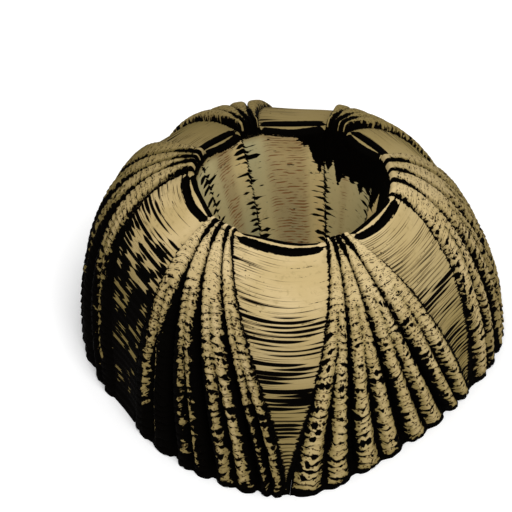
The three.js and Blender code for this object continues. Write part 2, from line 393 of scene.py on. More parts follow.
def ribLevel(plate, down, across, sideLevel):
    floor = relief["grooveFloorShare"] * down
    body = np.clip((across - floor) / (1 - 2 * floor), 0, 1)
    body = np.sqrt(1 - np.abs(2 * body - 1) ** relief["ribSquareness"])
    opening = relief["splitDepth"] * smooth(down, relief["splitStart"], relief["splitEnd"])
    toMiddle = np.clip(1 - np.abs(across - 0.5) / relief["splitShare"], 0, 1)
    notch = opening * footOpening(down) * toMiddle
    return blend(sideLevel, crestLevel(plate, down), body) - notch


# The skin of a plate is one sheet of rows and columns: over the rim, down the outer face,
# across the base and up the chamber's wall

def columnStops(plate):
    # each column's zone (-1 left flank, 0 to 3 ribs, 4 right flank) and place across it,
    # then how far it is drawn in to the middle of the seam's face
    ribs = len(plate["grooves"][0]) + 1
    zone, across = [], []
    flank = np.arange(resolution["flankColumns"]) / resolution["flankColumns"]
    rib = np.arange(resolution["ribColumns"]) / resolution["ribColumns"]
    if "ribsFrom" in plate:
        zone += [-1] * len(flank)
        across += list(flank)
    for number in range(ribs):
        zone += [number] * len(rib)
        across += list(rib)
    if "ribsTo" in plate:
        zone += [ribs] * (len(flank) + 1)
        across += [*flank, 1.0]
    else:
        zone.append(ribs - 1)
        across.append(1.0)
    caps = resolution["capColumns"]
    inset = np.arange(1, caps + 1) / caps
    zone = [zone[0]] * caps + zone + [zone[-1]] * caps
    across = [across[0]] * caps + across + [across[-1]] * caps
    cap = np.concatenate([inset[::-1], np.zeros(len(zone) - 2 * caps), inset])
    return np.array(zone), np.array(across), cap


def layOut(plate, index):
    near, far = seamsOf(index)
    zone, across, cap = columnStops(plate)
    ribs = len(plate["grooves"][0]) + 1
    caps = resolution["capColumns"]
    columns = len(zone)
    isFlank = (zone < 0) | (zone == ribs)
    flankMiddle = smooth(across, 0, 0.1) * (1 - smooth(across, 0.9, 1))
    acrossPlate = np.clip((np.arange(columns) - caps) / (columns - 1 - 2 * caps), 0, 1)
    rimRows, wallRows = resolution["rimRows"], resolution["wallRows"]
    baseRows, chamberRows = resolution["baseRows"], resolution["chamberRows"]
    return SimpleNamespace(
        plate=plate,
        index=index,
        near=near,
        far=far,
        ribs=ribs,
        columns=columns,
        zone=zone[None, :],
        across=across[None, :],
        fromRibs=np.where(zone < 0, 1 - across, across)[None, :],
        isFlank=isFlank[None, :],
        ledge=np.where(isFlank, np.sin(np.pi * across), 0)[None, :],  # 1 where the rim is widest
        ledgeLine=np.where(isFlank, flankMiddle, 0)[None, :],
        cap=cap[None, :],
        acrossPlate=acrossPlate[None, :],
        rimPlace=(np.arange(rimRows) / rimRows)[:, None],
        down=(np.arange(wallRows + 1) / wallRows)[:, None],
        basePlace=(np.arange(1, baseRows + 1) / baseRows)[:, None],
        innerDown=(np.arange(chamberRows - 1, -1, -1) / chamberRows)[:, None],
    )


def outerFace(grid):
    # angle and level of every point, and the width of its rib or flank in degrees
    plate, down = grid.plate, grid.down
    start, end = edgeAngle(grid.near, down), edgeAngle(grid.far, down)
    ribsStart = edgeAngle(plate["ribsFrom"], down) if "ribsFrom" in plate else start
    ribsEnd = edgeAngle(plate["ribsTo"], down) if "ribsTo" in plate else end
    drift = down ** relief["grooveDrift"]
    inner = [blend(a, b, drift) for a, b in zip(*plate["grooves"])]
    bounds = [0 * down, *inner, 0 * down + 1]
    angle, level, span = (np.zeros((len(down), grid.columns)) for _ in range(3))
    for number in range(-1, grid.ribs + 1):
        cols = grid.zone[0] == number
        place = grid.across[:, cols]
        if number == -1:
            angle[:, cols] = blend(start, ribsStart, place)
            level[:, cols] = flankLevel(down, place)
            span[:, cols] = ribsStart - start
        elif number == grid.ribs:
            angle[:, cols] = blend(ribsEnd, end, place)
            level[:, cols] = flankLevel(down, place)
            span[:, cols] = end - ribsEnd
        else:
            share = blend(bounds[number], bounds[number + 1], place)
            angle[:, cols] = blend(ribsStart, ribsEnd, share)
            left = flankLevel(down, 0) if number == 0 else grooveLevel(plate, down)
            right = flankLevel(down, 0) if number == grid.ribs - 1 else grooveLevel(plate, down)
            level[:, cols] = ribLevel(plate, down, place, np.where(place < 0.5, left, right))
            span[:, cols] = (bounds[number + 1] - bounds[number]) * (ribsEnd - ribsStart)
    return angle, level, span


def running(values, axis):
    # the change from each point to the next along one axis
    first = np.take(values, [0], axis=axis)
    return np.diff(values, axis=axis, prepend=first)


def measureWall(grid):
    angle, level, span = outerFace(grid)
    radius, height, outward, upward = wallAt(angle, grid.down)
    smoothWall = shellPoints(angle, radius, height, grid.down)
    profile = np.hypot(running(radius, 0), running(height, 0)).mean(axis=1, keepdims=True)
    return SimpleNamespace(
        angle=angle,
        level=level,
        radius=radius,
        height=height,
        outward=outward,
        upward=upward,
        widthMm=np.radians(span) * radius,  # of the rib or flank here
        along=np.cumsum(np.linalg.norm(running(smoothWall, 0), axis=-1), axis=0),
        acrossMm=np.cumsum(np.linalg.norm(running(smoothWall, 1), axis=-1), axis=1),
        profile=np.cumsum(profile, axis=0),  # mm below the rim, the same all round
        # dirt all round, and painted shade that darkens the left side
        soilAndShade=aroundShell(siltAndShade["soilAndShadeAround"], angle),
    )


# Marks. "siltAndShade" is a distance in mm from the edge of the dirt and of the painted shade and
# shadow, below zero inside it. Lines of dirt lie half way between the whole numbers of "row", one
# "pitch" in mm apart, and "ink" is half their thickness. "wide" counts strokes along a line. "fine"
# is the ink of hairlines.

def ribMarks(grid, wall):
    # overlapping scales, each half of a split rib with its own, and a crack under each scale
    index, across, down = grid.index, grid.across, grid.down
    along, acrossMm = wall.along, wall.acrossMm
    isSplit = down > blend(relief["splitStart"], relief["splitEnd"], 0.4)
    half = np.floor(across * 2) * isSplit
    rib = grid.zone * 2 + half
    side = rib * 2 + (across > 0.5)
    length = blend(growth["scaleAtRim"], growth["scaleAtBase"], down)
    bow = growth["scaleBow"] * (2 * across - 1) ** 2
    wander = speckle(acrossMm, along, "scaleWander", index)
    wander = wander + 0.5 * speckle(acrossMm, along, "scaleRipple", index + 1)
    row = np.cumsum(running(along, 0) / length, axis=0) + growth["scaleWander"] * wander
    row = row + bow + 7 * scatter(rib, index + 3)  # no two ribs are in step
    number = np.floor(row)
    rise = (row - number + 0.5) % 1
    top = growth["scaleRise"]
    scale = np.where(rise < top, rise / top, (1 - rise) / (1 - top)) - growth["scaleMiddle"]
    strength = blend(*growth["scaleStrengths"], scatter(number + 31 * rib, index + 11))
    strength = strength * smooth(down, -0.1, 0.6)

    # each crack is a row of dots across the rib, and thickens to its sides
    edge = np.minimum(across, 1 - across)
    reach = blend(*growth["crackReaches"], scatter(number + 40 * side, index + 5))
    reach = reach * smooth(down, -0.1, 0.5)
    heavy = blend(*growth["crackWeights"], scatter(number + 31 * rib, index + 9))
    heavy = heavy * (1 + 0.6 * wall.soilAndShade)
    ink = blend(siltAndShade["crackAtRim"], siltAndShade["crackAtBase"], smooth(down, 0.2, 1)) * heavy
    ink = ink + siltAndShade["sideCrack"] * np.clip((reach - 2 * edge) * 1.5, 0, 1) * smooth(down, 0, 0.6)

    # the grooves beside the rib and along its split
    split = smooth(down, relief["splitStart"], relief["splitEnd"])
    jag = speckle(acrossMm, along, "grooveJag", index) - 0.5
    groove = blend(siltAndShade["grooveAtRim"], siltAndShade["grooveAtBase"], smooth(down, 0.15, 1))
    groove = groove + siltAndShade["grooveAtTip"] * smooth(along, *siltAndShade["tipFades"])
    # silt and painted shade cover more of the rib where the table round the shell is high
    dirtAndShadeCover = siltAndShade["dirtAndShadeCover"] * wall.widthMm
    dirtAndShadeCover = dirtAndShadeCover * smooth(wall.soilAndShade, 0.3, 1.05) * smooth(down, 0.12, 0.75)
    firstSide = (grid.zone == 0) & (across < 0.5)
    lastSide = (grid.zone == grid.ribs - 1) & (across > 0.5)
    outermost = firstSide | lastSide
    groove = groove * np.where(outermost, siltAndShade["outerGroove"], 1)
    groove = groove + dirtAndShadeCover * np.where(outermost, 0.7, 1)
    grooveSilt = edge * wall.widthMm - groove * (1 + 0.5 * jag)
    splitWidth = siltAndShade["splitAtBase"] * (split * (1 + 0.3 * wall.soilAndShade) + 0.8 * jag - 0.05)
    splitWidth = np.where(down > relief["splitStart"] - 0.12, splitWidth, -1)
    splitSilt = np.abs(across - 0.5) * wall.widthMm - splitWidth
    return {
        "siltAndShade": np.minimum(grooveSilt, splitSilt),
        "groove": grooveSilt,
        "row": row,
        "pitch": length,
        "ink": ink,
        "fine": siltAndShade["hairline"],
        "stroke": blend(growth["ribStrokeAtRim"], growth["ribStrokeAtBase"], smooth(down, 0.3, 1)),
        "pitting": blend(0.6, 1, smooth(down, 0, 0.5)),
        "level": growth["scaleHeight"] * scale * strength,
    }


def flankMarks(grid, wall):
    # growth lines that start thick beside the ribs and taper to the seam
    index, down, soilAndShade, fromRibs = grid.index, grid.down, wall.soilAndShade, grid.fromRibs
    row = wall.profile / growth["flankLine"]
    wander = speckle(wall.acrossMm, wall.profile, "flankWander", index + 7)
    row = row + growth["flankWander"] * wander
    number = np.floor(row)
    group = smooth(speckle(number, number, "flankGroup", index + 13), 0.25, 0.75)
    reach = 0.6 * blend(*growth["flankReaches"], scatter(number, index + 15))
    reach = reach + 1.2 * smooth(down, 0.02, 0.5) + 0.6 * soilAndShade - 0.3
    ink = blend(siltAndShade["flankLineAtRim"], siltAndShade["flankLineAtBase"], smooth(down, 0.12, 0.95))
    ink = ink * blend(*growth["flankGroups"], group)
    ink = ink * blend(*growth["flankWeights"], scatter(number, index + 16))
    dirtAndShadeCover = 0.42 * smooth(down, 0.06, 0.5) + 0.5 * smooth(down, 0.5, 0.75)
    ink = (ink + smooth(soilAndShade, 0.45, 1) * dirtAndShadeCover) * np.clip((reach - fromRibs) * 1.8, 0, 1)
    hatching = grid.plate.get("hatched", 0) * smooth(down, 0.02, 0.2)
    besideRibs = fromRibs * wall.widthMm - 0.25 * blend(0.5, 1.6, down)
    seamWidth = blend(siltAndShade["seamAtRim"], siltAndShade["seamAtBase"], smooth(down, 0.45, 1))
    besideSeam = (1 - fromRibs) * wall.widthMm - seamWidth
    rimLine = wall.along - siltAndShade["rimLine"] * grid.ledgeLine
    strokes = blend(growth["flankStroke"], growth["flankStrokeInSilt"], smooth(soilAndShade, 0.4, 1))
    pitted = smooth(down, 0.03, 0.15) * smooth(down, 0.6, 0.3)
    return {
        "siltAndShade": np.minimum(np.minimum(besideRibs, besideSeam), rimLine),
        "row": row,
        "pitch": growth["flankLine"],
        "ink": ink,
        "fine": siltAndShade["hairline"] * blend(smooth(fromRibs, 0.9, 0.2), 1.3, hatching),
        "stroke": strokes,
        "pitting": 0.6 * smooth(fromRibs, 0.7, 0.1) * pitted,
        "level": growth["flankSwell"] * np.cos(np.pi * row) * smooth(down, 0, 0.3),
    }


def combMarks(index, toComb, along):
    # teeth on both sides of the nearest toothed line
    side = np.clip(toComb / 0.2, -1, 1) * (1 - smooth(np.abs(toComb), 2, 3))
    wander = speckle(toComb, along, "combWander", index + 19)
    row = along / growth["combTooth"]
    row = row + growth["combStagger"] * side + growth["combWander"] * wander
    number = np.floor(row)
    length = blend(*growth["combLengths"], scatter(number + 50 * np.sign(toComb), index + 21))
    ink = siltAndShade["combTooth"] * blend(*growth["combWeights"], scatter(number, index + 23))
    ink = ink * np.clip((length - np.abs(toComb)) / growth["combTaper"], 0, 1)
    return row, ink


# The four parts of the sheet

def growWall(grid):
    down, wall = grid.down, measureWall(grid)
    ribs, flanks = ribMarks(grid, wall), flankMarks(grid, wall)
    marks = {name: np.where(grid.isFlank, flanks[name], ribs[name]) for name in flanks}
    strokes = (grid.across - 0.5) * wall.widthMm / marks.pop("stroke")
    marks["wide"] = strokes + 13 * grid.zone + 97 * grid.index  # no two ribs look alike

    foot = wall.along[-1:] - wall.along
    ragged = speckle(wall.acrossMm, wall.along, "skirt", grid.index + 25)
    least, dirtiestAndShaded = siltAndShade["skirtRagged"]
    skirt = foot - siltAndShade["skirt"] - (least + dirtiestAndShaded * wall.soilAndShade ** 2) * ragged
    sharp = blend(siltAndShade["sharpAtRim"], 1, smooth(down, 0.05, 0.5))
    marks["siltAndShade"] = np.minimum(marks["siltAndShade"], skirt) * sharp

    # painted shade: the shell is darker low down, beside the silt, under hairlines and at the back,
    # and darker where the table round the shell is high
    ribShade = smooth(marks["siltAndShade"], 0.9, 0) * tones["besideSilt"] + tones["ribFoot"] * down
    hairlines = grid.plate.get("hatched", 0) * smooth(down, 0.02, 0.1)
    flankShade = blend(smooth(down, 0.15, 0.85), 1, tones["hairlines"] * hairlines)
    shade = np.where(grid.isFlank, flankShade, ribShade)
    shade = shade + tones["dirtyAndShaded"] * wall.soilAndShade * smooth(down, 0.1, 0.7)
    back = tones["back"] * smooth(np.cos(np.radians(wall.angle)), *tones["backSweep"])
    marks["shade"] = np.clip(shade + back, 0, 1)

    # relief of the scales, cracks and swells, which fades out at the seam
    toLine = np.abs(marks["row"] - np.floor(marks["row"]) - 0.5) * marks["pitch"]
    crack = growth["crackDepth"] * smooth(marks["ink"], 0.02, 0.15) * smooth(toLine, 0.3, 0.05)
    fineLevel = marks.pop("level") - np.where(grid.isFlank, 0, crack)
    level = wall.level + fineLevel * (1 - smooth(grid.cap, 0, 0.2))

    # the whole face is narrowed by half the gap at each seam
    left, right = wall.angle[:, :1], wall.angle[:, -1:]
    middle = (left + right) / 2
    inset = np.degrees(seamGap / 2 / wall.radius.mean(axis=1, keepdims=True))
    angle = middle + (wall.angle - middle) * (1 - 2 * inset / (right - left))
    height = np.where(down == 1, 0, wall.height + level * wall.upward)
    points = shellPoints(angle, wall.radius + level * wall.outward, height, down)

    # what the rim and the chamber take over from the wall
    grid.angle = angle
    grid.rimLevel = level[:1]
    grid.rimGroove = ribs["groove"][:1]
    grid.rimShade = back[:1]
    grid.rimAcross = wall.acrossMm[:1]
    grid.baseAcross = wall.acrossMm[-1:]
    return points, marks


def growRim(grid):
    # from the chamber's edge out to the outer face
    place = grid.rimPlace
    thickness = rimAndChamber["thickness"] + rimAndChamber["ledgeExtra"] * grid.ledge
    outerEdge = aroundShell(crown["rimRadii"], grid.angle[:1])
    top = crown["height"] + blend(-rimAndChamber["innerDrop"], grid.rimLevel, 1 - (1 - place) ** 3)
    top = top + rimAndChamber["rounding"] * np.sin(np.pi * place)
    toCrevice = np.abs(place - rimAndChamber["creviceAt"])
    crevice = np.clip(1 - toCrevice / rimAndChamber["creviceWidth"], 0, 1) * grid.ledge
    top = top - rimAndChamber["creviceDepth"] * crevice
    radius = outerEdge - thickness * (1 - place)
    points = shellPoints(grid.angle[:1] + 0 * place, radius, top, 0 * place)

    creviceStart = rimAndChamber["creviceAt"] - rimAndChamber["creviceWidth"]
    creviceSilt = (creviceStart - place) * thickness + 0.5 * (1 - grid.ledgeLine)
    grooveSilt = np.where(grid.isFlank, creviceSilt, grid.rimGroove)
    innerEdge = place * thickness - siltAndShade["innerRim"] - siltAndShade["innerLedge"] * grid.ledgeLine
    marks = {
        "siltAndShade": siltAndShade["sharpAtRim"] * np.minimum(grooveSilt, innerEdge),
        "wide": grid.rimAcross / growth["rimStroke"],
        "shade": grid.rimShade,
        "pitting": 0.2,
    }
    return points, marks


def chamberPoints(grid, place, depth, rimWidth):
    # place runs from 0 at the near seam to 1 at the far seam, and depth from the rim to the base
    inset = math.degrees(seamGap / 2 / rimAndChamber["chamberRadius"])
    low = blend(grid.angle[0, 0], grid.near["chamber"] + inset, depth)
    high = blend(grid.angle[0, -1], grid.far["chamber"] - inset, depth)
    turnTo = blend(low, high, place)
    width = blend(rimWidth, rimAndChamber["thickness"], smooth(depth, 0, 0.15))
    mouth = aroundShell(crown["rimRadii"], turnTo) - width
    inner = blend(rimAndChamber["chamberRadius"], mouth, (1 - depth) ** rimAndChamber["flare"])
    height = (crown["height"] - rimAndChamber["innerDrop"]) * (1 - depth)
    return shellPoints(turnTo, inner, height, depth)


def growChamber(grid):
    depth, index = grid.innerDown, grid.index
    atRim = (grid.angle[:1] - grid.angle[0, 0]) / (grid.angle[0, -1] - grid.angle[0, 0])
    place = blend(atRim, grid.acrossPlate, smooth(depth, 0, 0.6))
    rimWidth = rimAndChamber["thickness"] + rimAndChamber["ledgeExtra"] * grid.ledge
    points = chamberPoints(grid, place, depth + 0 * place, rimWidth)

    # toothed lines along both seams, and on one plate a third between them
    width = np.radians(grid.far["chamber"] - grid.near["chamber"]) * rimAndChamber["meanRadius"]
    along = depth * crown["height"]
    fromNear = place * width
    inSeam = 0.001  # both lines lie just past the plate's edges
    combs = [fromNear + inSeam, fromNear - width - inSeam]
    if "extraComb" in grid.plate:
        combs.append(fromNear - grid.plate["extraComb"] * width)
    combs = np.array(combs)
    toComb = np.take_along_axis(combs, np.abs(combs).argmin(axis=0)[None], axis=0)[0]
    row, ink = combMarks(index, toComb, along)

    # the painted shadow in black below the rim, and rusty columns half way between the seams
    turnTo = blend(grid.near["chamber"], grid.far["chamber"], place)
    paintedShadowShare = smooth(turnTo, *siltAndShade["paintedShadowFrom"]) * (1 - smooth(turnTo, *siltAndShade["paintedShadowTo"]))
    ragged = 0.5 + speckle(fromNear, along, "paintedShadowEdge", index + 31)
    paintedShadowHang = 0.3 + siltAndShade["paintedShadowDepth"] * paintedShadowShare * ragged
    column = speckle(fromNear, along, "rustColumn", index + 29)
    rusty = smooth(np.abs(toComb), *siltAndShade["rustFrom"]) * smooth(column, *siltAndShade["rustShare"])
    toneStart = 5 / noiseCells["chamberTone"][0]
    marks = {
        # the black here is the toothed lines and the painted shadow below the rim
        "siltAndShade": np.minimum(np.abs(toComb) - siltAndShade["combSeam"], (along - paintedShadowHang) * 0.5),
        "row": row,
        "pitch": growth["combTooth"],
        "ink": ink,
        "fine": siltAndShade["rustLine"] * rusty,
        "wide": fromNear / growth["combStroke"] + 97 * index,
        "shade": speckle(fromNear + toneStart, along, "chamberTone", index + 27),
        "pitting": 0.1,
        "chamber": smooth(depth, 0, 0.05),
        "stain": rusty,
    }
    return points, marks


def growBase(grid, wallPoints):
    # flat, from the foot of the wall in to the foot of the chamber
    atFoot = (grid.angle[-1:] - grid.angle[-1, 0]) / (grid.angle[-1, -1] - grid.angle[-1, 0])
    place = grid.basePlace
    turnTo = blend(atFoot, grid.acrossPlate, place)
    inner = chamberPoints(grid, turnTo, 1 + 0 * turnTo, 0)
    points = blend(wallPoints[-1:], inner, place[..., None])
    points[..., 2] = 0
    return points, {"siltAndShade": 0.4, "wide": grid.baseAcross}


def closeSeams(grid, sheet):
    # the end columns are drawn in to a line half way through the wall, where both sides meet
    rim, wall, base = sheet[:3]
    points = np.concatenate(sheet)
    steps = resolution["chamberRows"]
    depth = np.arange(steps + 1) / steps
    rowDepths = (0 * grid.rimPlace, grid.down, 1 + 0 * grid.basePlace, grid.innerDown)
    nearest = np.rint(np.concatenate(rowDepths)[:, 0] * steps).astype(int)
    baseRows = slice(len(rim) + len(wall), len(rim) + len(wall) + len(base))
    for side in (0, -1):
        outer = [np.interp(depth, grid.down[:, 0], wall[:, side, axis]) for axis in range(3)]
        outer = np.stack(outer, axis=-1)
        place = np.full(steps + 1, -float(side))
        inner = chamberPoints(grid, place, depth, rimAndChamber["thickness"])
        middle = (outer + inner) / 2
        for column in np.flatnonzero(grid.cap[0] > 0):
            if (column > grid.columns / 2) == (side == -1):
                cap = grid.cap[0, column]
                points[:, column] = blend(points[:, column], middle[nearest], cap)
                slide = np.clip(grid.basePlace, cap / 2, 1 - cap / 2)
                points[baseRows, column] = blend(outer[-1], inner[-1], slide)
    return points


def growPlate(plate, index):
    grid = layOut(plate, index)
    wall, wallMarks = growWall(grid)
    rim, rimMarks = growRim(grid)
    base, baseMarks = growBase(grid, wall)
    chamber, chamberMarks = growChamber(grid)
    sheet = (rim, wall, base, chamber)
    values = {}
    for name, bare in bareShell.items():
        parts = []
        for points, marks in zip(sheet, (rimMarks, wallMarks, baseMarks, chamberMarks)):
            parts.append(np.broadcast_to(marks.get(name, bare), points.shape[:2]))
        values[name] = np.concatenate(parts)

    # the seam's faces are black, but for the base
    atSeam = np.broadcast_to(0.35 - 0.8 * smooth(grid.cap, 0, 0.3), values["siltAndShade"].shape).copy()
    atSeam[len(rim) + len(wall):len(rim) + len(wall) + len(base)] = 1
    values["siltAndShade"] = np.minimum(values["siltAndShade"], atSeam)
    return closeSeams(grid, sheet), values


def addAttribute(mesh, name, values):
    layer = mesh.attributes.new(name, "FLOAT", "POINT")
    layer.data.foreach_set("value", values)


def plateMesh(plate, index):
    points, values = growPlate(plate, index)
    rows, columns = points.shape[:2]
    sheet = bmesh.new()
    bmesh.ops.create_grid(sheet, x_segments=columns - 1, y_segments=rows - 1, size=0.5)
    mesh = bpy.data.meshes.new(plate["node"] + "_visual")
    sheet.to_mesh(mesh)
    sheet.free()

    # every point of the flat sheet, one unit wide, goes to its place on the plate
    flat = np.zeros(len(mesh.vertices) * 3)
    mesh.vertices.foreach_get("co", flat)
    flat = flat.reshape(-1, 3)
    column = np.rint((flat[:, 0] + 0.5) * (columns - 1)).astype(int)
    row = np.rint((flat[:, 1] + 0.5) * (rows - 1)).astype(int)
    mesh.vertices.foreach_set("co", (points[row, column] * mm).ravel())
    for name, value in values.items():
        addAttribute(mesh, name, value[row, column])

    skin = bmesh.new()
    skin.from_mesh(mesh)
    bmesh.ops.remove_doubles(skin, verts=skin.verts, dist=resolution["mergeBelow"] * mm)
    bmesh.ops.recalc_face_normals(skin, faces=skin.faces)
    openEdges = sum(1 for edge in skin.edges if not edge.is_manifold)
    print(plate["node"], len(skin.faces), "faces,", openEdges, "open edges")
    skin.to_mesh(mesh)
    skin.free()
    return mesh


def pocketCutter(index):
    # a block for each pocket, from the base up to a sloping roof
    near, far = seamsOf(index)
    pitch = pockets["shares"][1] - pockets["shares"][0]
    innerEdges = [blend(edge["chamber"], edge["base"], pockets["lean"]) for edge in (near, far)]
    innerSpan, outerSpan = far["chamber"] - near["chamber"], far["base"] - near["base"]
    cutter = bmesh.new()
    for share in pockets["shares"]:
        outerAngle = blend(near["base"], far["base"], share)
        innerAngle = blend(*innerEdges, share)
        outerRadius = float(aroundShell(crown["baseRadii"], np.array(outerAngle)))
        outerRadius = outerRadius - pockets["outerWall"]
        ends = [
            (innerAngle, pockets["innerRadius"], innerSpan, pockets["roofInner"]),
            (outerAngle, outerRadius, outerSpan, pockets["roofOuter"]),
        ]
        block = bmesh.ops.create_cube(cutter, size=1)["verts"]
        for vert in block:
            angle, radius, span, roof = ends[1 if vert.co.x > 0 else 0]
            room = math.radians(span) * pitch * radius - pockets["wall"]
            halfWidth = min(pockets["widest"], room) / 2
            side = halfWidth if vert.co.y > 0 else -halfWidth
            middle = shellPoints(np.array(angle), radius, 0.0, 1.0)
            turn = math.radians(angle)
            height = roof if vert.co.z > 0 else -pockets["undercut"]
            x = middle[0] + side * math.cos(turn)
            y = middle[1] + side * math.sin(turn)
            vert.co = Vector((x, y, height)) * mm
    mesh = bpy.data.meshes.new("pocketCutter")
    cutter.to_mesh(mesh)
    cutter.free()
    for name, bare in bareShell.items():
        addAttribute(mesh, name, np.full(len(mesh.vertices), bare))
    piece = bpy.data.objects.new("pocketCutter", mesh)
    bpy.context.scene.collection.objects.link(piece)
    return piece


def applyModifiers(piece):
    # the piece keeps the mesh that its modifiers give
    graph = bpy.context.evaluated_depsgraph_get()
    made = bpy.data.meshes.new_from_object(piece.evaluated_get(graph))
    piece.modifiers.clear()
    piece.data = made


# Materials

def linear(hexColour):
    channels = [int(hexColour[i:i + 2], 16) / 255 for i in (1, 3, 5)]
    return [c / 12.92 if c <= 0.04045 else ((c + 0.055) / 1.055) ** 2.4 for c in channels] + [1]


def addNode(tree, kind, settings=None, inputs=None):
    # an input that is a node is linked from that node's first output in use
    node = tree.nodes.new("ShaderNode" + kind)
    for name, value in (settings or {}).items():
        setattr(node, name, value)
    for name, value in (inputs or {}).items():
        if isinstance(value, bpy.types.Node):
            value = next(output for output in value.outputs if output.enabled)
        if isinstance(value, bpy.types.NodeSocket):
            tree.links.new(value, node.inputs[name])
        else:
            node.inputs[name].default_value = value
    return node


shellLooks = {
    # pale crests, body, shaded body
    "shell_pale": ("#D9C290", "#C9B17E", "#8A794A"),
    "shell_tan": ("#D9C190", "#CAB27E", "#87764A"),
    # shell_dark is the same calcite made darker, as painted shade for the left plate
    "shell_dark": ("#D0B886", "#BFA773", "#75663C"),
    "chamberPale": "#E5CB8E",
    "chamberGrey": "#B4B088",
    "line": "#2E1C08",
    "siltAndShade": "#040302",
    "stain": "#85552F",
    "cloudMm": 6,  # size of the clouds of paler shell
    "grainMm": 0.7,
    "pitMm": 0.5,  # distance between pits
    "jagMm": 0.6,  # roughness of the silt's edge
    "jagWidth": 0.5,  # mm that it moves the edge by
    "teethWidth": 1.3,  # the same, in strokes along the lines
    "lineSwell": 1.6,  # the widest that a line swells to
    "lineApart": 5.3,  # how far apart the swells of two lines are in the noise
    "lineLost": 0.03,  # mm of a line that are lost on each side, so that it breaks where thin
    "rustTint": 0.3,
    "dustTint": 0.35,
    "hairlineTint": 0.8,
    "pitTint": 0.9,
    "pitLargest": 0.42,  # in distances between pits
    "pitShake": 0.35,  # mm that makes the pits uneven
    "bumpMm": 0.12,
    "roughness": 0.82,
    "specular": 0.01,  # dusty: next to no shine
    "ior": 1.5,
}

times, timesPlus = {"operation": "MULTIPLY"}, {"operation": "MULTIPLY_ADD"}
plus, minus = {"operation": "ADD"}, {"operation": "SUBTRACT"}
colourMix = {"data_type": "RGBA"}
flatNoise = {"noise_dimensions": "2D"}


def siltLine(tree, row, pitch, wide, ink):
    # distance in mm from the edge of the nearest line, which swells and breaks as it runs
    cell = addNode(tree, "Math", {"operation": "FLOOR"}, {0: row})
    part = addNode(tree, "Math", minus, {0: row, 1: cell})
    aside = addNode(tree, "Math", minus, {0: part, 1: 0.5})
    aside = addNode(tree, "Math", {"operation": "ABSOLUTE"}, {0: aside})
    aside = addNode(tree, "Math", times, {0: aside, 1: pitch})
    apart = addNode(tree, "Math", times, {0: cell, 1: shellLooks["lineApart"]})
    place = addNode(tree, "CombineXYZ", {}, {"X": wide, "Y": apart})
    swell = addNode(tree, "TexNoise", flatNoise, {"Vector": place, "Scale": 1, "Detail": 1})
    swell = addNode(tree, "MapRange", {}, {
        "Value": swell, "From Min": 0.36, "From Max": 0.64, "To Max": shellLooks["lineSwell"],
    })
    width = addNode(tree, "Math", timesPlus, {0: ink, 1: swell, 2: -shellLooks["lineLost"]})
    return addNode(tree, "Math", minus, {0: aside, 1: width})


